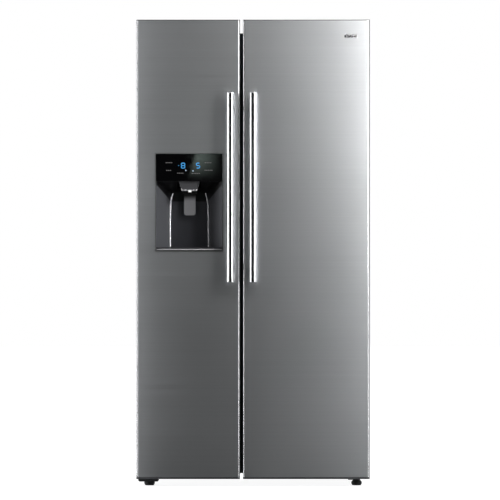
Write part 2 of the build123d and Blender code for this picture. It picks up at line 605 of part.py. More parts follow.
# door bins, open at the top
def bin_(d, z, h=85.0, deep=92.0, t=2.6):
    a, b = d["x0"] + WD + 1.5, d["x1"] - WD - 1.5
    o = bx(a, b, YB, YB + deep, z, z + h)
    o = fillet(vert(o).sort_by(Axis.Y)[-2:], 10)
    i = bx(a + t, b - t, YB + t, YB + deep - t, z + t, z + h + 1)
    i = fillet(vert(i).sort_by(Axis.Y)[-2:], 8)
    o -= i
    o -= bx(a - 1, b + 1, YB - 1, YB + 30, z + h - 25, z + h + 1)
    o += bx(a, b, YB, YB + t, z, z + h - 25)
    return o


save("freezer_door_bin", bin_(FD, 745.0))
save("fridge_door_bins", *[bin_(RD, z) for z in BIN_Z[:3]])
dairy = bin_(RD, BIN_Z[3], 95.0, 84.0)
LID_Y, LID_Z = YB + 8.0, BIN_Z[3] + 128.0
cheeks = []
for a, b in ((RD["x0"] + WD + 1.5, RD["x0"] + WD + 4.1), (RD["x1"] - WD - 4.1, RD["x1"] - WD - 1.5)):
    ch = bx(a, b, YB, YB + 16, BIN_Z[3] + 65, LID_Z + 8)
    ch -= cx(a - 1, b + 1, LID_Y, LID_Z, 3.06)
    cheeks.append(ch)
dairy = dairy + cheeks[0] + cheeks[1]
save("dairy_box", dairy)
la, lb = RD["x0"] + WD + 4.6, RD["x1"] - WD - 4.6
lid = cx(la, lb, LID_Y, LID_Z, 5) + cx(la - 3, lb + 3, LID_Y, LID_Z, 3)
lid += prism_x([(LID_Y, LID_Z - 2.2), (LID_Y + 72, LID_Z - 16), (LID_Y + 80, LID_Z - 30.5), (LID_Y + 77.6, LID_Z - 31.2), (LID_Y + 70.5, LID_Z - 18.2), (LID_Y, LID_Z - 4.8)], la, lb)
save("dairy_lid", lid)


# ---------------------------------------------------------------- handles
HZ0, HZ1, HR = 782.0, 1509.0, 15.0


def handle(x):
    yc = Y0 + HR
    bar = cz(x, yc, HZ0, HZ1, HR)
    bar = fillet(bar.edges().filter_by(GeomType.CIRCLE), 3)
    out = [bar]
    for z in (HZ0 + 58, HZ1 - 58):
        post = cy(x, yc, YF, z, 8.5) + cy(x, YF - 4, YF, z, 12)
        out.append(post - cz(x, yc, HZ0, HZ1, HR))
    return out


save("freezer_handle", *handle(-86.0))
save("fridge_handle", *handle(0.5))

# ---------------------------------------------------------------- dispenser


def poly_face(y, pts):
    return make_face(Polyline(*[(XC + x, y, z) for x, z in pts], close=True))


def tub(g):
    f = poly_face(YF, [(-DIS_X - g, DIS_Z0 - g), (DIS_X + g, DIS_Z0 - g), (DIS_X + g, 1085), (DIS_X + g, DIS_ZM + g), (-DIS_X - g, DIS_ZM + g), (-DIS_X - g, 1085)])
    b = poly_face(HB + g, [(-74 - g, DIS_Z0 - g), (74 + g, DIS_Z0 - g), (74 + g, 1082), (65 + g, 1128 + g), (-65 - g, 1128 + g), (-74 - g, 1082)])
    return loft([f, b], ruled=True)


inner = tub(0)
house = tub(2.2) - inner
rim = bx(XC - 131, XC + 131, YF - 1.5, YF, 900, 1277.6) - bx(XC - 127.2, XC + 127.2, YF - 3, YF + 1, DIS_Z0 - 0.2, 1273.8)
house += rim
house += bx(XC - 127.2, XC + 127.2, YF - 1.5, YF + 3, DIS_ZM - 2.5, DIS_ZM)
house -= bx(XC - 45, XC + 45, YF + 4, YF + 56, 1120, 1180)
house -= bx(XC - 127.15, XC + 127.15, YF - 4, YF + 1, DIS_ZM + 0.3, 1273.75)
PAD_X, PAD_Y, PAD_Z = XC + 2.0, YF + 60.0, 1127.0
for s in (-1, 1):
    ear = bx(*sorted((PAD_X + s * 26.2, PAD_X + s * 30.2)), PAD_Y - 6, PAD_Y + 6, PAD_Z - 7, 1142)
    house += ear
    house -= cx(*sorted((PAD_X + s * 24, PAD_X + s * 32)), PAD_Y, PAD_Z, 3.06)
save("dispenser_housing", house)

glass = bx(XC - 127, XC + 127, YF - 3, YF + 1, DIS_ZM + 0.3, DIS_Z1)
glass = fillet(glass.edges().filter_by(Axis.Y), 2)
board = bx(XC - 118, XC + 118, YF + 1, YF + 5, 1182, 1266)
save("control_panel", glass, board)

duct_o = [(CH_Y - 4, 1392), (CH_Y - 4, 1305), (YF + 55, 1240), (YF + 55, DIS_ZM + 3), (YF + 6.5, DIS_ZM + 3), (YF + 6.5, 1262), (CH_Y - 46, 1380), (CH_Y - 46, 1392)]
duct_i = [(CH_Y - 7, 1394), (CH_Y - 7, 1306.8), (YF + 52, 1241.8), (YF + 52, DIS_ZM - 2), (YF + 9.5, DIS_ZM - 2), (YF + 9.5, 1261), (CH_Y - 43, 1379), (CH_Y - 43, 1394)]
chute = prism_x(duct_o, XC - 35, XC + 35) - prism_x(duct_i, XC - 32, XC + 32)


def sp_face(z, hx, y0, y1, c=XC):
    return make_face(Polyline((c - hx, y0, z), (c + hx, y0, z), (c + hx, y1, z), (c - hx, y1, z), close=True))


spo = loft([sp_face(DIS_ZM + 3, 43, YF + 6.5, YF + 55), sp_face(1132, 28.5, YF + 12, YF + 49, XC + 1)], ruled=True)
spi = loft([sp_face(DIS_ZM + 3.0, 32, YF + 9.5, YF + 52), sp_face(1132 - 0.0, 25.5, YF + 15, YF + 46, XC + 1)], ruled=True)
spout = spo - spi
chute = chute + spout
chute += bx(XC - 3, XC + 9, YF + 9.0, YF + 14, 1127, 1136)
save("ice_chute", chute)

# lever: hangs from a pin behind the spout
lever = bx(PAD_X - 22, PAD_X + 22, PAD_Y - 3, PAD_Y + 3, 1039, PAD_Z)
lever = fillet(lever.edges().filter_by(Axis.Y).sort_by(Axis.Z)[:2], 9)
lever += cx(PAD_X - 25.7, PAD_X + 25.7, PAD_Y, PAD_Z, 5.5)
lever += cx(PAD_X - 30, PAD_X + 30, PAD_Y, PAD_Z, 3)
save("dispenser_paddle", lever)

# drip tray: slatted, slides out of the recess
g = 1.0


def at(y):
    return DIS_X + (74 - DIS_X) * (y - YF) / (HB - YF) - g


ty0, ty1 = YF + 0.5, HB - 6
tray = prism_z([(XC - at(ty0), ty0), (XC + at(ty0), ty0), (XC + at(ty1), ty1), (XC - at(ty1), ty1)], DIS_Z0 + 0.4, DIS_Z0 + 9)
tin = prism_z([(XC - at(ty0 + 8) + 3, ty0 + 4), (XC + at(ty0 + 8) - 3, ty0 + 4), (XC + at(ty1) - 3, ty1 - 3), (XC - at(ty1) + 3, ty1 - 3)], DIS_Z0 + 2.4, DIS_Z0 + 6.5)
tray -= tin
for k in range(-6, 7):
    w = 2.2
    tray -= bx(XC + k * 10 - w, XC + k * 10 + w, ty0 + 10, ty1 - 8, DIS_Z0 + 6, DIS_Z0 + 10)
tray += bx(XC - 124, XC + 124, YF - 4.5, YF + 0.5, DIS_Z0 + 0.4, DIS_Z0 + 6)
save("drip_tray", tray)

print("files", len([f for f in os.listdir("parts") if f.endswith(".step")]))
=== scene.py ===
import math

import bmesh
import bpy
from mathutils import Matrix, Vector


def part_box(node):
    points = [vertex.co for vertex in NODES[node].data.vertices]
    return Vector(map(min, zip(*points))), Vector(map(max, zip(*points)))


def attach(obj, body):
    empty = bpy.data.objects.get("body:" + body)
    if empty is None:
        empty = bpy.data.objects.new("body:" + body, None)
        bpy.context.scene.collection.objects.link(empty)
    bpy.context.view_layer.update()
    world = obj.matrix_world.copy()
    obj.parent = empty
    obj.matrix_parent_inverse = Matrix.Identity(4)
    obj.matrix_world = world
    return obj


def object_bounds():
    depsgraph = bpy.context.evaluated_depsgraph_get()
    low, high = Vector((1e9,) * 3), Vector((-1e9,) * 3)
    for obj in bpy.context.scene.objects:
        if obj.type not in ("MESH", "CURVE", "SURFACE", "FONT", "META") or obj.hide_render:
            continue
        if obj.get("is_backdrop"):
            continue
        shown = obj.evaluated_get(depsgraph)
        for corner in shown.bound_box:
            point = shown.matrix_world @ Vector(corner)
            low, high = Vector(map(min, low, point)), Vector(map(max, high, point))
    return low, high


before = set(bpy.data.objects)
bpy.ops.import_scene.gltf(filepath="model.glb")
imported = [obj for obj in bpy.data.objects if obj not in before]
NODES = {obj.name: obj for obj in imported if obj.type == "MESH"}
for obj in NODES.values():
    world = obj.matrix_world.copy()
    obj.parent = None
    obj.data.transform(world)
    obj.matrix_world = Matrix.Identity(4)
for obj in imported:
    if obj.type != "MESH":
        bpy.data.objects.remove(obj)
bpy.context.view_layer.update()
MM = 0.001

# key planes, read from the frame
skin_lo, skin_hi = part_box("freezer_door_skin")
YF = skin_lo[1]                      # face of the doors
hs_lo, hs_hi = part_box("dispenser_housing")
XC = (hs_lo[0] + hs_hi[0]) / 2       # centre line of the dispenser
pn_lo, pn_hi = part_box("control_panel")
Y_GLASS = pn_lo[1]
fr_lo, fr_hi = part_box("fridge_door_skin")


# ---------------------------------------------------------------- materials
def new_mat(name):
    m = bpy.data.materials.new(name)
    m.use_nodes = True
    nt = m.node_tree
    nt.nodes.clear()
    out = nt.nodes.new("ShaderNodeOutputMaterial")
    b = nt.nodes.new("ShaderNodeBsdfPrincipled")
    nt.links.new(b.outputs[0], out.inputs[0])
    return m, nt, b


def coords(nt, stretch):
    tc = nt.nodes.new("ShaderNodeTexCoord")
    mp = nt.nodes.new("ShaderNodeMapping")
    mp.inputs["Scale"].default_value = stretch
    nt.links.new(tc.outputs["Object"], mp.inputs["Vector"])
    return mp.outputs["Vector"]


def noise(nt, stretch, detail=3.0, rough=0.5, scale=1.0):
    n = nt.nodes.new("ShaderNodeTexNoise")
    n.inputs["Scale"].default_value = scale
    n.inputs["Detail"].default_value = detail
    n.inputs["Roughness"].default_value = rough
    nt.links.new(coords(nt, stretch), n.inputs["Vector"])
    return n.outputs["Fac"]


def voronoi(nt, stretch, feature="F1", scale=1.0):
    v = nt.nodes.new("ShaderNodeTexVoronoi")
    v.feature = feature
    v.inputs["Scale"].default_value = scale
    nt.links.new(coords(nt, stretch), v.inputs["Vector"])
    return v


def ramp(nt, fac, stops):
    r = nt.nodes.new("ShaderNodeValToRGB")
    e = r.color_ramp.elements
    while len(e) < len(stops):
        e.new(0.5)
    for i, (p, c) in enumerate(stops):
        e[i].position = p
        e[i].color = (*c, 1.0) if len(c) == 3 else c
    nt.links.new(fac, r.inputs["Fac"])
    return r.outputs["Color"]


def span(nt, fac, lo, hi, a=0.3, b=0.7):
    r = nt.nodes.new("ShaderNodeMapRange")
    r.inputs["From Min"].default_value = a
    r.inputs["From Max"].default_value = b
    r.inputs["To Min"].default_value = lo
    r.inputs["To Max"].default_value = hi
    nt.links.new(fac, r.inputs["Value"])
    return r.outputs["Result"]


def mathn(nt, op, a, b=None):
    n = nt.nodes.new("ShaderNodeMath")
    n.operation = op
    for i, v in enumerate((a, b)):
        if v is None:
            continue
        if isinstance(v, (int, float)):
            n.inputs[i].default_value = v
        else:
            nt.links.new(v, n.inputs[i])
    return n.outputs[0]


def bump(nt, b, height, strength, distance):
    n = nt.nodes.new("ShaderNodeBump")
    n.inputs["Strength"].default_value = strength
    n.inputs["Distance"].default_value = distance
    nt.links.new(height, n.inputs["Height"])
    nt.links.new(n.outputs["Normal"], b.inputs["Normal"])
    return n


def shade(c, k):
    return tuple(min(1.0, v * k) for v in c)


def steel(name, color, rough, grain, aniso=0.6, spread=0.04, depth=0.00006, rot=0.0, vary=0.03):
    """Brushed steel. grain is the stretch of the brush marks: small along the brushing, large across it."""
    m, nt, b = new_mat(name)
    fine = noise(nt, grain, 4.0, 0.6)
    broad = noise(nt, tuple(g * 0.12 for g in grain), 2.0, 0.5)
    cloud = noise(nt, (2.3, 2.3, 1.7), 3.0, 0.5)
    mix = mathn(nt, "ADD", mathn(nt, "MULTIPLY", fine, 0.5), mathn(nt, "MULTIPLY", broad, 0.5))
    col = ramp(nt, mix, [(0.3, shade(color, 1 - spread)), (0.7, shade(color, 1 + spread))])
    nt.links.new(col, b.inputs["Base Color"])
    r = mathn(nt, "ADD", span(nt, mix, rough - vary, rough + vary), span(nt, cloud, -vary / 2, vary / 2))
    nt.links.new(r, b.inputs["Roughness"])
    b.inputs["Metallic"].default_value = 1.0
    b.inputs["Anisotropic"].default_value = aniso
    b.inputs["Anisotropic Rotation"].default_value = rot
    t = nt.nodes.new("ShaderNodeTangent")
    t.direction_type = "RADIAL"
    t.axis = "Z"
    nt.links.new(t.outputs[0], b.inputs["Tangent"])
    bump(nt, b, fine, 0.25, depth)
    return m


def plastic(name, color, rough=0.4, grain=900.0, depth=0.00008, strength=0.3, spread=0.06, coat=0.0, sss=0.0, alpha=1.0, trans=0.0, spec=0.5):
    m, nt, b = new_mat(name)
    g = noise(nt, (grain,) * 3, 2.0, 0.5)
    broad = noise(nt, (5.0, 5.0, 5.0), 3.0, 0.55)
    col = ramp(nt, broad, [(0.3, shade(color, 1 - spread)), (0.7, shade(color, 1 + spread))])
    nt.links.new(col, b.inputs["Base Color"])
    r = mathn(nt, "ADD", span(nt, broad, rough - 0.04, rough + 0.04), span(nt, g, -0.03, 0.03))
    nt.links.new(r, b.inputs["Roughness"])
    b.inputs["Specular IOR Level"].default_value = spec
    b.inputs["Coat Weight"].default_value = coat
    b.inputs["Coat Roughness"].default_value = 0.06
    b.inputs["Subsurface Weight"].default_value = sss
    b.inputs["Subsurface Radius"].default_value = (0.004, 0.004, 0.004)
    b.inputs["Transmission Weight"].default_value = trans
    b.inputs["Alpha"].default_value = alpha
    bump(nt, b, g, strength, depth)
    return m


def clear(name, color, rough=0.06, alpha=0.32, wave=12.0):
    """Clear moulded plastic or glass: thin, seen through, with a faint tint and mould flow."""
    m, nt, b = new_mat(name)
    flow = noise(nt, (wave, wave, wave), 3.0, 0.5)
    fine = noise(nt, (420, 420, 420), 2.0, 0.5)
    col = ramp(nt, flow, [(0.3, shade(color, 0.95)), (0.7, color)])
    nt.links.new(col, b.inputs["Base Color"])
    nt.links.new(span(nt, fine, rough * 0.7, rough * 1.5), b.inputs["Roughness"])
    fr = nt.nodes.new("ShaderNodeLayerWeight")
    fr.inputs["Blend"].default_value = 0.35
    nt.links.new(span(nt, fr.outputs["Facing"], alpha, min(1.0, alpha + 0.45), 0.0, 1.0), b.inputs["Alpha"])
    b.inputs["Coat Weight"].default_value = 0.4
    b.inputs["Coat Roughness"].default_value = 0.04
    bump(nt, b, flow, 0.08, 0.0004)
    return m


def painted(name, color, rough=0.38, peel=160.0, spread=0.03, metallic=0.0, coat=0.25, spec=0.5):
    """Baked enamel with a faint orange peel."""
    m, nt, b = new_mat(name)
    p = noise(nt, (peel,) * 3, 2.0, 0.45)
    broad = noise(nt, (1.7, 1.7, 1.1), 3.0, 0.5)
    col = ramp(nt, broad, [(0.3, shade(color, 1 - spread)), (0.7, shade(color, 1 + spread))])
    nt.links.new(col, b.inputs["Base Color"])
    nt.links.new(span(nt, broad, rough - 0.04, rough + 0.04), b.inputs["Roughness"])
    b.inputs["Metallic"].default_value = metallic
    b.inputs["Specular IOR Level"].default_value = spec
    b.inputs["Coat Weight"].default_value = coat
    b.inputs["Coat Roughness"].default_value = 0.12
    bump(nt, b, p, 0.12, 0.00025)
    return m


def galvanised(name, color=(0.56, 0.58, 0.60)):
    m, nt, b = new_mat(name)
    v = voronoi(nt, (130, 130, 130))
    sep = nt.nodes.new("ShaderNodeSeparateColor")
    nt.links.new(v.outputs["Color"], sep.inputs["Color"])
    broad = noise(nt, (3, 3, 3), 3.0)
    mix = mathn(nt, "ADD", mathn(nt, "MULTIPLY", sep.outputs["Red"], 0.6), mathn(nt, "MULTIPLY", broad, 0.4))
    nt.links.new(ramp(nt, mix, [(0.15, shade(color, 0.93)), (0.85, shade(color, 1.05))]), b.inputs["Base Color"])
    nt.links.new(span(nt, mix, 0.48, 0.60, 0.1, 0.9), b.inputs["Roughness"])
    b.inputs["Metallic"].default_value = 0.55
    bump(nt, b, v.outputs["Distance"], 0.06, 0.0003)
    return m


def foam_mat(name, color=(0.80, 0.70, 0.46), painted_shade_centre=None):
    m, nt, b = new_mat(name)
    v = voronoi(nt, (420, 420, 420))
    broad = noise(nt, (9, 9, 9), 4.0, 0.6)
    col = ramp(nt, broad, [(0.25, shade(color, 0.84)), (0.75, shade(color, 1.08))])
    if painted_shade_centre:
        # painted shade: the foam is painted near black within about 0.17 m of the given centre round the ice chute
        tc = nt.nodes.new("ShaderNodeTexCoord")
        dv = nt.nodes.new("ShaderNodeVectorMath")
        dv.operation = "DISTANCE"
        dv.inputs[1].default_value = painted_shade_centre
        nt.links.new(tc.outputs["Object"], dv.inputs[0])
        mx = nt.nodes.new("ShaderNodeMix")
        mx.data_type = "RGBA"
        nt.links.new(span(nt, dv.outputs["Value"], 1.0, 0.0, 0.16, 0.18), mx.inputs[0])
        nt.links.new(col, mx.inputs[6])
        nt.links.new(ramp(nt, broad, [(0.25, (0.004, 0.004, 0.004)), (0.75, (0.006, 0.006, 0.006))]), mx.inputs[7])
        col = mx.outputs[2]
    nt.links.new(col, b.inputs["Base Color"])
    nt.links.new(span(nt, broad, 0.75, 0.92), b.inputs["Roughness"])
    bump(nt, b, v.outputs["Distance"], 0.6, 0.0006)
    return m


def rubber(name, color, rough=0.62):
    m, nt, b = new_mat(name)
    g = noise(nt, (700, 700, 700), 3.0, 0.6)
    dust = noise(nt, (26, 26, 26), 4.0, 0.6)
    nt.links.new(ramp(nt, dust, [(0.35, color), (0.75, shade(color, 1.35))]), b.inputs["Base Color"])
    nt.links.new(span(nt, dust, rough - 0.06, rough + 0.08), b.inputs["Roughness"])
    bump(nt, b, g, 0.4, 0.00012)
    return m


def glow(name, color, strength, base=(0.02, 0.02, 0.02)):
    """A lit mark behind the panel glass, a little uneven."""
    m, nt, b = new_mat(name)
    n = noise(nt, (160, 160, 160), 2.0)
    nt.links.new(ramp(nt, n, [(0.3, shade(color, 0.82)), (0.7, color)]), b.inputs["Emission Color"])
    nt.links.new(ramp(nt, n, [(0.3, base), (0.7, shade(base, 1.4))]), b.inputs["Base Color"])
    b.inputs["Emission Strength"].default_value = strength
    b.inputs["Roughness"].default_value = 0.3
    return m


def paddle_with_painted_shadow(name, color, rough):
    """Grey paddle whose top, under the spout, fades to black: painted shadow of the spout."""
    m, nt, b = new_mat(name)
    tc = nt.nodes.new("ShaderNodeTexCoord")
    sep = nt.nodes.new("ShaderNodeSeparateXYZ")
    nt.links.new(tc.outputs["Object"], sep.inputs[0])
    t = span(nt, sep.outputs["Z"], 0.0, 1.0, 1.094, 1.115)
    g = noise(nt, (700, 700, 700), 2.0, 0.5)
    t = mathn(nt, "ADD", t, span(nt, g, -0.03, 0.03))
    # painted shadow: grey fading through darker grey to black towards the top
    nt.links.new(ramp(nt, t, [(0.02, color), (0.45, shade(color, 0.55)), (0.95, (0.003, 0.003, 0.003))]), b.inputs["Base Color"])
    nt.links.new(span(nt, g, rough - 0.03, rough + 0.03), b.inputs["Roughness"])
    bump(nt, b, g, 0.25, 0.00008)
    return m


def recess_with_painted_shadow(name, low_color, low_rough, shadow_color, shadow_rough):
    """Moulded recess: grained grey below, and near black painted above a line that falls towards the back,
    following the shadow cast by the panel's lower edge (painted shadow).
    """
    m, nt, b = new_mat(name)
    tc = nt.nodes.new("ShaderNodeTexCoord")
    sep = nt.nodes.new("ShaderNodeSeparateXYZ")
    nt.links.new(tc.outputs["Object"], sep.inputs[0])
    line = mathn(nt, "ADD", sep.outputs["Z"], mathn(nt, "MULTIPLY", mathn(nt, "SUBTRACT", sep.outputs["Y"], YF), 0.8125))
    # painted shadow mask: 1 above the sloping line where the panel's shadow falls, 0 below
    shadow_mask = span(nt, line, 0.0, 1.0, 1.1565, 1.1580)
    g = noise(nt, (500, 500, 500), 2.0, 0.5)
    broad = noise(nt, (14, 14, 6), 3.0, 0.5)
    base = ramp(nt, broad, [(0.3, shade(low_color, 0.95)), (0.7, shade(low_color, 1.05))])
    mx = nt.nodes.new("ShaderNodeMix")
    mx.data_type = "RGBA"
    nt.links.new(shadow_mask, mx.inputs["Factor"])
    nt.links.new(base, mx.inputs[6])
    nt.links.new(ramp(nt, g, [(0.3, shade(shadow_color, 0.8)), (0.7, shade(shadow_color, 1.2))]), mx.inputs[7])
    nt.links.new(mx.outputs[2], b.inputs["Base Color"])
    nt.links.new(mathn(nt, "ADD", span(nt, shadow_mask, low_rough, shadow_rough, 0.0, 1.0), span(nt, g, -0.02, 0.02)), b.inputs["Roughness"])
    b.inputs["Specular IOR Level"].default_value = 0.35
    bump(nt, b, g, 0.25, 0.00008)
    return m


ACROSS = (5.0, 5.0, 1500.0)          # brush marks run round the door, horizontally
UPRIGHT = (1300.0, 1300.0, 4.0)      # brush marks run up a bar

MAT = {
    "door_steel": steel("door_steel", (0.585, 0.603, 0.622), 0.41, ACROSS, aniso=0.5, rot=0.25, depth=0.00003),
    # darker copy of the door steel for the rounded door edges: painted shade that tones down their highlights
    "edge_steel_painted_shade": steel("edge_steel_painted_shade", (0.46, 0.465, 0.475), 0.24, UPRIGHT, aniso=0.2, spread=0.03),
    "bar_steel": steel("bar_steel", (0.62, 0.625, 0.635), 0.17, (420.0, 420.0, 2.5), aniso=0.2, rot=0.25, spread=0.012, depth=0.0000005, vary=0.004),
    "cabinet_grey": painted("cabinet_grey", (0.215, 0.222, 0.235), 0.62, metallic=0.0, coat=0.0, spec=0.22),
    "frame_grey": painted("frame_grey", (0.055, 0.056, 0.06), 0.36),
    "galvanised": galvanised("galvanised"),
    "zinc_steel": galvanised("zinc_steel", (0.62, 0.62, 0.60)),
    "screw_steel": steel("screw_steel", (0.66, 0.66, 0.65), 0.26, (400, 400, 400), aniso=0.2),
    "foam": foam_mat("foam"),
    # foam_door carries a black patch of painted shade round the ice chute
    "foam_door": foam_mat("foam_door", painted_shade_centre=(XC, YF + 0.06, 1.19)),
    "liner_white": plastic("liner_white", (0.62, 0.635, 0.65), 0.24, grain=260.0, depth=0.00012, strength=0.12, spread=0.015, coat=0.35),
    "trim_white": plastic("trim_white", (0.80, 0.815, 0.83), 0.42, spread=0.02),
    "bin_clear": clear("bin_clear", (0.80, 0.87, 0.91), 0.08, 0.26),
    "shelf_glass": clear("shelf_glass", (0.74, 0.90, 0.87), 0.03, 0.16, wave=3.0),
    "cap_grey": plastic("cap_grey", (0.055, 0.057, 0.062), 0.44),
    "cap_dark": plastic("cap_dark", (0.028, 0.029, 0.031), 0.50, grain=600.0, strength=0.45),
    "gasket": rubber("gasket", (0.018, 0.018, 0.020)),
    # both recess materials carry painted shadow above the sloping line
    # the back wall material is a darker copy of the recess plastic: painted shade
    "housing_back_painted_shade": recess_with_painted_shadow("housing_back_painted_shade", (0.030, 0.031, 0.036), 0.30, (0.003, 0.003, 0.0035), 0.30),
    "housing_grey": recess_with_painted_shadow("housing_grey", (0.058, 0.060, 0.067), 0.40, (0.003, 0.003, 0.0035), 0.30),
    "panel_black": plastic("panel_black", (0.0012, 0.0012, 0.0015), 0.05, grain=90.0, depth=0.000001, strength=0.02, spread=0.2, coat=0.0, spec=0.5),
    "spout_grey": plastic("spout_grey", (0.050, 0.051, 0.055), 0.36, grain=700.0),
    "paddle_grey_painted_shadow": paddle_with_painted_shadow("paddle_grey_painted_shadow", (0.175, 0.177, 0.186), 0.34),
    # light-coloured bead for the dark tray lip: painted highlight
    "bead_painted_highlight": plastic("bead_painted_highlight", (0.62, 0.62, 0.64), 0.22, spread=0.08, coat=0.3),
    "nozzle_white": plastic("nozzle_white", (0.86, 0.87, 0.88), 0.25, spread=0.02, coat=0.4),
    "tray_grey": plastic("tray_grey", (0.030, 0.031, 0.034), 0.34, grain=600.0),
    "compressor_black": painted("compressor_black", (0.012, 0.012, 0.013), 0.32, peel=90.0, spread=0.2),
    "fan_white": plastic("fan_white", (0.72, 0.73, 0.74), 0.38, spread=0.03),
    "motor_grey": painted("motor_grey", (0.20, 0.205, 0.215), 0.42),
    "foot_black": rubber("foot_black", (0.012, 0.012, 0.013), 0.5),
    "valve_white": plastic("valve_white", (0.78, 0.79, 0.80), 0.40, spread=0.03),
    "silver_trim": steel("silver_trim", (0.74, 0.75, 0.76), 0.24, ACROSS, aniso=0.3, spread=0.03),
    "satin_frame": steel("satin_frame", (0.42, 0.43, 0.44), 0.30, ACROSS, aniso=0.3, spread=0.03),
    "ridge_chrome": steel("ridge_chrome", (0.72, 0.72, 0.74), 0.26, UPRIGHT, aniso=0.2, spread=0.02),
    "nozzle_bright": steel("nozzle_bright", (0.90, 0.90, 0.90), 0.12, UPRIGHT, aniso=0.1, spread=0.02),
    "badge_satin": steel("badge_satin", (0.78, 0.79, 0.80), 0.22, (8.0, 8.0, 1600.0), aniso=0.4, spread=0.03),
    "digit_blue": glow("digit_blue", (0.05, 0.42, 0.95), 1.05),
    "digit_white": glow("digit_white", (0.62, 0.80, 1.0), 0.9),
    "mark_dim": glow("mark_dim", (0.60, 0.58, 0.58), 0.20),
    "lamp_cover": plastic("lamp_cover", (0.86, 0.88, 0.90), 0.30, spread=0.02, sss=0.3),
}


def copper(name):
    m, nt, b = new_mat(name)
    tarnish = noise(nt, (30, 30, 30), 5.0, 0.6)
    nt.links.new(ramp(nt, tarnish, [(0.3, (0.36, 0.15, 0.08)), (0.65, (0.78, 0.42, 0.26))]), b.inputs["Base Color"])
    nt.links.new(span(nt, tarnish, 0.42, 0.24), b.inputs["Roughness"])
    b.inputs["Metallic"].default_value = 1.0
    bump(nt, b, tarnish, 0.1, 0.0002)
    return m


def fins(name, color, tarnish_color):
    m, nt, b = new_mat(name)
    t = noise(nt, (18, 60, 22), 4.0, 0.6)
    nt.links.new(ramp(nt, t, [(0.35, tarnish_color), (0.65, color)]), b.inputs["Base Color"])
    nt.links.new(span(nt, t, 0.45, 0.28), b.inputs["Roughness"])
    b.inputs["Metallic"].default_value = 0.95
    bump(nt, b, noise(nt, (4, 900, 300), 2.0), 0.2, 0.0002)
    return m


MAT["copper_tube"] = copper("copper_tube")
MAT["fin_alu"] = fins("fin_alu", (0.78, 0.79, 0.80), (0.62, 0.64, 0.66))
MAT["fin_black"] = fins("fin_black", (0.03, 0.03, 0.032), (0.06, 0.058, 0.055))

USE = {
    "cabinet_shell": "cabinet_grey", "back_panel": "galvanised", "cabinet_insulation": "foam", "freezer_liner": "liner_white",
    "fridge_liner": "liner_white", "front_frame": "frame_grey", "bottom_pan": "galvanised", "compressor_base": "zinc_steel",
    "compressor": "compressor_black", "condenser": "fin_black", "condenser_fan_motor": "motor_grey", "machine_cover": "cap_dark",
    "water_inlet_valve": "valve_white", "lower_hinge_left": "cap_dark", "lower_hinge_right": "zinc_steel", "upper_hinges": "zinc_steel",
    "hinge_covers": "cap_dark", "hinge_screws": "screw_steel", "evaporator_cover": "liner_white", "evaporator_coil": "fin_alu",
    "evaporator_fan_motor": "motor_grey", "ice_maker": "trim_white", "freezer_shelves": "shelf_glass", "crisper_cover_shelf": "shelf_glass",
    "fridge_shelves": "shelf_glass", "fridge_air_duct": "trim_white", "leveling_foot_left": "foot_black", "leveling_foot_right": "foot_black",
    "rear_roller_left": "foot_black", "rear_roller_right": "foot_black", "condenser_fan": "fan_white", "evaporator_fan": "fan_white",
    "freezer_drawer_upper": "bin_clear", "freezer_drawer_lower": "bin_clear", "ice_bucket": "bin_clear", "ice_auger": "zinc_steel",
    "crisper_upper": "bin_clear", "crisper_lower": "bin_clear", "freezer_door_skin": "door_steel", "freezer_door_foam": "foam_door",
    "freezer_door_liner": "liner_white", "freezer_door_caps": "cap_grey", "freezer_door_gasket": "gasket", "freezer_handle": "bar_steel",
    "dispenser_housing": "housing_grey", "control_panel": "panel_black", "ice_chute": "spout_grey", "freezer_door_bin": "bin_clear",
    "dispenser_paddle": "paddle_grey_painted_shadow", "drip_tray": "tray_grey", "fridge_door_skin": "door_steel", "fridge_door_foam": "foam",
    "fridge_door_liner": "liner_white", "fridge_door_caps": "cap_grey", "fridge_door_gasket": "gasket", "fridge_handle": "bar_steel",
    "fridge_door_bins": "bin_clear", "dairy_box": "bin_clear", "dairy_lid": "bin_clear",
}
for n, o in NODES.items():
    o.data.materials.clear()
    o.data.materials.append(MAT[USE[n]])


def second(node, mat, test):
    """A second material on the faces of a node that pass test(centre, normal)."""
    me = NODES[node].data
    me.materials.append(MAT[mat])
    k = len(me.materials) - 1
    for p in me.polygons:
        if test(p.center, p.normal):
            p.material_index = k


for n in ("freezer_shelves", "crisper_cover_shelf", "fridge_shelves"):
    lo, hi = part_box(n)
    second(n, "silver_trim", lambda c, nn: c.y < lo[1] + 0.0092)
    second(n, "trim_white", lambda c, nn: c.y > hi[1] - 0.0081)
second("dispenser_housing", "satin_frame", lambda c, nn: c.y < YF + 0.0003 and not (abs(c.x - XC) < 0.124 and 0.92 < c.z < 1.26))
# the recess back wall takes the darker copy, painted shade
second("dispenser_housing", "housing_back_painted_shade", lambda c, nn: nn.y < -0.9 and c.y > YF + 0.075)
# the rounded front edges of the door skins take the darker steel copy, painted shade
for n in ("freezer_door_skin", "fridge_door_skin"):
    second(n, "edge_steel_painted_shade", lambda c, nn: abs(nn.x) > 0.12 and c.y < YF + 0.0085)
second("ice_chute", "nozzle_white", lambda c, nn: c.z < 1.1365 and c.y < YF + 0.0145)
second("compressor", "copper_tube", lambda c, nn: c.z > 0.1942)
second("condenser_fan", "zinc_steel", lambda c, nn: c.x < -0.0661)
second("water_inlet_valve", "cap_dark", lambda c, nn: c.z > 0.2242)
for n in ("freezer_drawer_upper", "freezer_drawer_lower", "crisper_upper", "crisper_lower"):
    lo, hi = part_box(n)
    second(n, "trim_white", lambda c, nn: c.y < lo[1] + 0.0073)
second("ice_maker", "cap_grey", lambda c, nn: c.y < -0.0399)


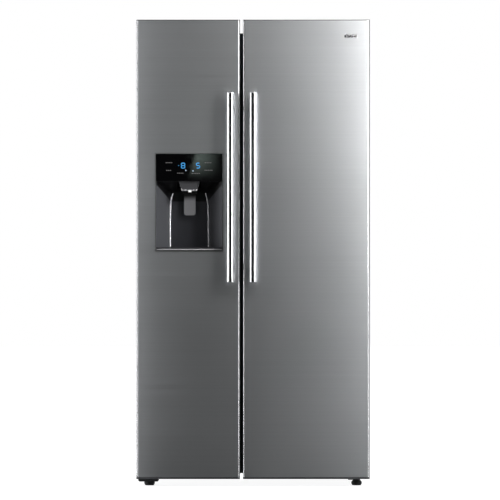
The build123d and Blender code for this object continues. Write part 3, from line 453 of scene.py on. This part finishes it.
# ---------------------------------------------------------------- mesh helpers
def obj_from(bm, name, mat, body, smooth=False):
    me = bpy.data.meshes.new(name)
    bm.to_mesh(me)
    bm.free()
    me.materials.append(MAT[mat])
    if smooth:
        for p in me.polygons:
            p.use_smooth = True
    o = bpy.data.objects.new(name, me)
    bpy.context.scene.collection.objects.link(o)
    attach(o, body)
    return o


def plate_xz(bm, pts, y0, y1, bevel=0.0):
    """A plate lying against the front: outline pts (x, z), from y0 (front) to y1 (back)."""
    vs = [bm.verts.new((x, y1, z)) for x, z in pts]
    f = bm.faces.new(vs)
    r = bmesh.ops.extrude_face_region(bm, geom=[f])
    top = [v for v in r["geom"] if isinstance(v, bmesh.types.BMVert)]
    for v in top:
        v.co.y = y0
    if bevel:
        edges = [e for e in bm.edges if all(v in top for v in e.verts)]
        bmesh.ops.bevel(bm, geom=edges, offset=bevel, segments=2, affect="EDGES", profile=0.6)
    return top


def rounded(x0, x1, z0, z1, r, n=5):
    out = []
    for cx, cz, a0 in ((x1 - r, z1 - r, 0), (x0 + r, z1 - r, 90), (x0 + r, z0 + r, 180), (x1 - r, z0 + r, 270)):
        for i in range(n + 1):
            a = math.radians(a0 + 90 * i / n)
            out.append((cx + r * math.cos(a), cz + r * math.sin(a)))
    return out


# ---------------------------------------------------------------- display on the touch panel
def seg_bar(bm, x0, z0, x1, z1, w, y0, y1):
    d = Vector((x1 - x0, z1 - z0))
    L = d.length
    d.normalize()
    n = Vector((-d.y, d.x))
    h = w / 2
    pts = [(0, 0), (h, h), (L - h, h), (L, 0), (L - h, -h), (h, -h)]
    plate_xz(bm, [(x0 + d.x * a + n.x * b, z0 + d.y * a + n.y * b) for a, b in pts], y0, y1)


SEGS = {"0": "abcdef", "1": "bc", "5": "acdfg", "8": "abcdefg", "-": "g", "3": "abcdg", "4": "bcfg"}


def digit(bm, ch, x0, x1, z0, z1, w):
    zm = (z0 + z1) / 2
    g = w * 0.12
    seg = {
        "a": (x0, z1, x1, z1), "d": (x0, z0, x1, z0), "g": (x0, zm, x1, zm),
        "f": (x0, zm, x0, z1), "e": (x0, z0, x0, zm), "b": (x1, zm, x1, z1), "c": (x1, z0, x1, zm),
    }
    for s in SEGS[ch]:
        a, b, c, d = seg[s]
        if a == c:
            seg_bar(bm, a, b + g, c, d - g, w, Y_GLASS - 0.00025, Y_GLASS + 0.0001)
        else:
            seg_bar(bm, a + g, b, c - g, d, w, Y_GLASS - 0.00025, Y_GLASS + 0.0001)


bm = bmesh.new()
digit(bm, "-", -0.2875, -0.2825, 1.2205, 1.2375, 0.0022)
digit(bm, "8", -0.2745, -0.2615, 1.2195, 1.2385, 0.0030)
digit(bm, "5", -0.2170, -0.2045, 1.2195, 1.2385, 0.0030)
obj_from(bm, "display_digits", "digit_blue", "freezer_door")


def disc(bm, x, z, r, y0, y1, n=14):
    plate_xz(bm, [(x + r * math.cos(2 * math.pi * i / n), z + r * math.sin(2 * math.pi * i / n)) for i in range(n)], y0, y1)


bm = bmesh.new()
disc(bm, -0.2577, 1.2108, 0.0024, Y_GLASS - 0.00025, Y_GLASS + 0.0001)
disc(bm, -0.2300, 1.2088, 0.0024, Y_GLASS - 0.00025, Y_GLASS + 0.0001)
obj_from(bm, "display_dots", "digit_white", "freezer_door")

bm = bmesh.new()
for x0, x1, z, n in ((-0.335, -0.3075, 1.2400, 4), (-0.333, -0.3115, 1.2105, 3), (-0.1855, -0.1575, 1.2400, 4), (-0.1860, -0.1535, 1.2112, 5),
                     (-0.2905, -0.2650, 1.2000, 4), (-0.2350, -0.2015, 1.1990, 5)):
    step = (x1 - x0) / n
    for i in range(n):
        plate_xz(bm, rounded(x0 + i * step, x0 + (i + 0.72) * step, z - 0.0017, z + 0.0017, 0.0009, 2), Y_GLASS - 0.00022, Y_GLASS + 0.0001)
obj_from(bm, "display_marks", "mark_dim", "freezer_door")

# ---------------------------------------------------------------- bright ridges down the back of the recess
HB = YF + 0.080


def ridge(side):
    cu = bpy.data.curves.new(f"recess_ridge_{'left' if side < 0 else 'right'}", "CURVE")
    cu.dimensions = "3D"
    cu.resolution_u = 8
    sp = cu.splines.new("NURBS")
    pts = [(74.0, -2.6, 917.5), (74.0, -2.6, 960), (74.2, -2.6, 1010), (73.6, -2.8, 1050), (72.4, -3.0, 1080), (70.0, -4.0, 1098), (66.0, -5.0, 1114), (63.2, -6.0, 1124)]
    sp.points.add(len(pts) - 1)
    for p, (x, y, z) in zip(sp.points, pts):
        p.co = (XC + side * x * MM, HB + y * MM, z * MM, 1.0)
    sp.use_endpoint_u = True
    sp.order_u = 3
    for i, p in enumerate(sp.points):
        p.radius = 1.0 if i < len(pts) - 2 else 0.75
    cu.bevel_depth = 0.0042
    cu.bevel_resolution = 4
    cu.use_fill_caps = True
    cu.materials.append(MAT["ridge_chrome"])
    o = bpy.data.objects.new(cu.name, cu)
    bpy.context.scene.collection.objects.link(o)
    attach(o, "freezer_door")
    return o


ridge(-1)
ridge(1)

# ---------------------------------------------------------------- light bead along the tray's lip, full width: its light colour is a painted highlight
lip_lo, lip_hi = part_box("drip_tray")


def bead(name, x0, x1, r0, r1, z):
    cu = bpy.data.curves.new(name, "CURVE")
    cu.dimensions = "3D"
    sp = cu.splines.new("POLY")
    n = 9
    sp.points.add(n - 1)
    for i, p in enumerate(sp.points):
        t = i / (n - 1)
        p.co = ((x0 + (x1 - x0) * t) * MM, lip_lo[1] + 0.0004, z * MM, 1.0)
        p.radius = (r0 + (r1 - r0) * t) * (0.55 if i in (0, n - 1) else 1.0)
    cu.bevel_depth = 0.001
    cu.bevel_resolution = 3
    cu.use_fill_caps = True
    cu.materials.append(MAT["bead_painted_highlight"])
    o = bpy.data.objects.new(name, cu)
    bpy.context.scene.collection.objects.link(o)
    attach(o, "drip_tray")


bead("tray_lip_edge", lip_lo[0] / MM + 1.0, lip_hi[0] / MM - 1.0, 1.3, 1.3, 908.0)

# ---------------------------------------------------------------- light edge under the spout
bm = bmesh.new()
sx0, sx1 = XC + 0.001 - 0.0272, XC + 0.001 + 0.0272
plate_xz(bm, [(sx0 - 0.0008, 1.1352), (sx0, 1.1316), (sx1, 1.1316), (sx1 + 0.0008, 1.1352)], YF + 0.0112, YF + 0.0140, bevel=0.0005)
obj_from(bm, "spout_edge", "satin_frame", "freezer_door")

# ---------------------------------------------------------------- blank badge near the top corner
bm = bmesh.new()
plate_xz(bm, rounded(0.3500, 0.3990, 1.7185, 1.7325, 0.0035), YF - 0.0016, YF + 0.0002, bevel=0.0006)
obj_from(bm, "door_badge_blank", "badge_satin", "fridge_door")

# ---------------------------------------------------------------- stage
def floor():
    bm = bmesh.new()
    bmesh.ops.create_grid(bm, x_segments=30, y_segments=30, size=30.0)
    me = bpy.data.meshes.new("floor")
    bm.to_mesh(me)
    bm.free()
    m, nt, b = new_mat("pale_floor")
    g = noise(nt, (3, 3, 3), 4.0, 0.5)
    nt.links.new(ramp(nt, g, [(0.3, (0.40, 0.40, 0.40)), (0.7, (0.42, 0.42, 0.42))]), b.inputs["Base Color"])
    b.inputs["Roughness"].default_value = 0.85
    b.inputs["Specular IOR Level"].default_value = 0.1
    tc = nt.nodes.new("ShaderNodeTexCoord")
    ln = nt.nodes.new("ShaderNodeVectorMath")
    ln.operation = "LENGTH"
    nt.links.new(tc.outputs["Object"], ln.inputs[0])
    far = span(nt, ln.outputs["Value"], 0.88, 1.0, 0.7, 3.2)
    nt.links.new(far, b.inputs["Emission Strength"])
    nt.links.new(ramp(nt, g, [(0.3, (0.99, 0.99, 0.99)), (0.7, (1.0, 1.0, 1.0))]), b.inputs["Emission Color"])
    me.materials.append(m)
    o = bpy.data.objects.new("floor", me)
    bpy.context.scene.collection.objects.link(o)
    o.visible_glossy = False
    o.visible_diffuse = False
    o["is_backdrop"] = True
    return o


floor()


def area(name, loc, aim, size, power, color=(1, 1, 1), spread=180):
    li = bpy.data.lights.new(name, "AREA")
    li.shape = "RECTANGLE"
    li.size, li.size_y = size
    li.energy = power
    li.color = color
    li.spread = math.radians(spread)
    o = bpy.data.objects.new(name, li)
    o.location = loc
    o.rotation_mode = "QUATERNION"
    o.rotation_quaternion = (Vector(aim) - Vector(loc)).to_track_quat("-Z", "Y")
    o.visible_camera = False
    bpy.context.scene.collection.objects.link(o)
    return o


area("key", (1.85, -1.75, 2.55), (-0.245, -0.27, 1.05), (0.45, 0.45), 42, (1.0, 0.99, 0.97))
area("right_near", (0.80, -1.25, 1.5), (0.40, -0.31, 1.4), (0.15, 1.3), 11.6, (1.0, 0.985, 0.97))
area("right_high", (0.62, -2.6, 2.9), (0.3, -0.31, 1.7), (0.5, 0.5), 12.2, (1.0, 0.98, 0.96))
area("right_corner", (0.62, -0.85, 1.8), (0.45, -0.31, 1.7), (0.12, 0.7), 0.8, (1.0, 0.98, 0.96))
area("right_low", (0.95, -1.7, 0.45), (0.45, -0.31, 0.4), (0.3, 0.9), 3.2)
area("left_near", (-0.62, -0.8, 0.9), (-0.45, -0.31, 0.9), (0.10, 2.2), 1.8)
area("top", (0.0, -1.0, 3.5), (0.0, -0.2, 1.2), (2.4, 1.6), 12, (0.97, 0.985, 1.0))
area("edge_left", (-2.4, -0.60, 1.0), (-0.45, -0.3, 0.95), (0.5, 2.4), 34)
area("edge_right", (2.1, -1.55, 1.0), (0.45, -0.3, 0.95), (0.4, 2.4), 20)
area("back_fill", (0.6, 3.6, 2.2), (0.0, 0.2, 0.9), (3.0, 2.4), 60)


def card():
    """A faint lit card in front of the doors, seen only as a slanted patch in the touch panel's glass."""
    me = bpy.data.meshes.new("card_soft")
    D, d = 1.3, 21.28
    k = 1 + D / d
    cx, cz = -0.0117, 0.9039
    pts = [(-0.2183, 1.2760), (-0.2440, 1.1960), (-0.2560, 1.1690), (-0.1100, 1.1690), (-0.1100, 1.2760)]
    me.from_pydata([(cx + (x - cx) * k, YF - D, cz + (z - cz) * k) for x, z in pts], [], [tuple(range(len(pts)))])
    m = bpy.data.materials.new("card_soft")
    m.use_nodes = True
    nt = m.node_tree
    nt.nodes.clear()
    out = nt.nodes.new("ShaderNodeOutputMaterial")
    em = nt.nodes.new("ShaderNodeEmission")
    tc = nt.nodes.new("ShaderNodeTexCoord")
    sep = nt.nodes.new("ShaderNodeSeparateXYZ")
    nt.links.new(tc.outputs["Object"], sep.inputs[0])
    gx = span(nt, sep.outputs["X"], 1.0, 0.0, cx + (-0.205 - cx) * k, cx + (-0.128 - cx) * k)
    gz = span(nt, sep.outputs["Z"], 0.0, 1.0, cz + (1.180 - cz) * k, cz + (1.262 - cz) * k)
    nt.links.new(ramp(nt, mathn(nt, "MULTIPLY", gx, gz), [(0.0, (0.02, 0.02, 0.02)), (1.0, (0.80, 1.0, 0.90))]), em.inputs["Color"])
    em.inputs["Strength"].default_value = 2.7
    nt.links.new(em.outputs[0], out.inputs[0])
    me.materials.append(m)
    o = bpy.data.objects.new("card_soft", me)
    bpy.context.scene.collection.objects.link(o)
    o.visible_camera = False
    o.visible_diffuse = False
    o.visible_shadow = False
    o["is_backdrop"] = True


card()

w = bpy.data.worlds.new("studio")
bpy.context.scene.world = w
w.use_nodes = True
nt = w.node_tree
nt.nodes.clear()
out = nt.nodes.new("ShaderNodeOutputWorld")
bright = nt.nodes.new("ShaderNodeBackground")
bright.inputs["Color"].default_value = (1, 1, 1, 1)
bright.inputs["Strength"].default_value = 1.0
dim = nt.nodes.new("ShaderNodeBackground")
dim.inputs["Color"].default_value = (0.93, 0.96, 1.0, 1)
wc = nt.nodes.new("ShaderNodeTexCoord")
ws = nt.nodes.new("ShaderNodeSeparateXYZ")
nt.links.new(wc.outputs["Generated"], ws.inputs[0])
nt.links.new(span(nt, ws.outputs["Y"], 0.012, 0.42, -0.55, 0.15), dim.inputs["Strength"])
mix = nt.nodes.new("ShaderNodeMixShader")
lp = nt.nodes.new("ShaderNodeLightPath")
nt.links.new(lp.outputs["Is Camera Ray"], mix.inputs["Fac"])
nt.links.new(dim.outputs[0], mix.inputs[1])
nt.links.new(bright.outputs[0], mix.inputs[2])
nt.links.new(mix.outputs[0], out.inputs["Surface"])

# ---------------------------------------------------------------- camera
cam = bpy.data.cameras.new("camera")
cam.sensor_width = 36.0
cam.lens = 400.0
cam.clip_start, cam.clip_end = 0.1, 120.0
co = bpy.data.objects.new("camera", cam)
co.location = (-0.0117, YF - 21.28, 0.9057)
co.rotation_euler = (math.radians(90), 0, 0)
bpy.context.scene.collection.objects.link(co)
bpy.context.scene.camera = co
bpy.context.scene.view_settings.view_transform = "Standard"
bpy.context.scene.view_settings.look = "None"

lo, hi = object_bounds()
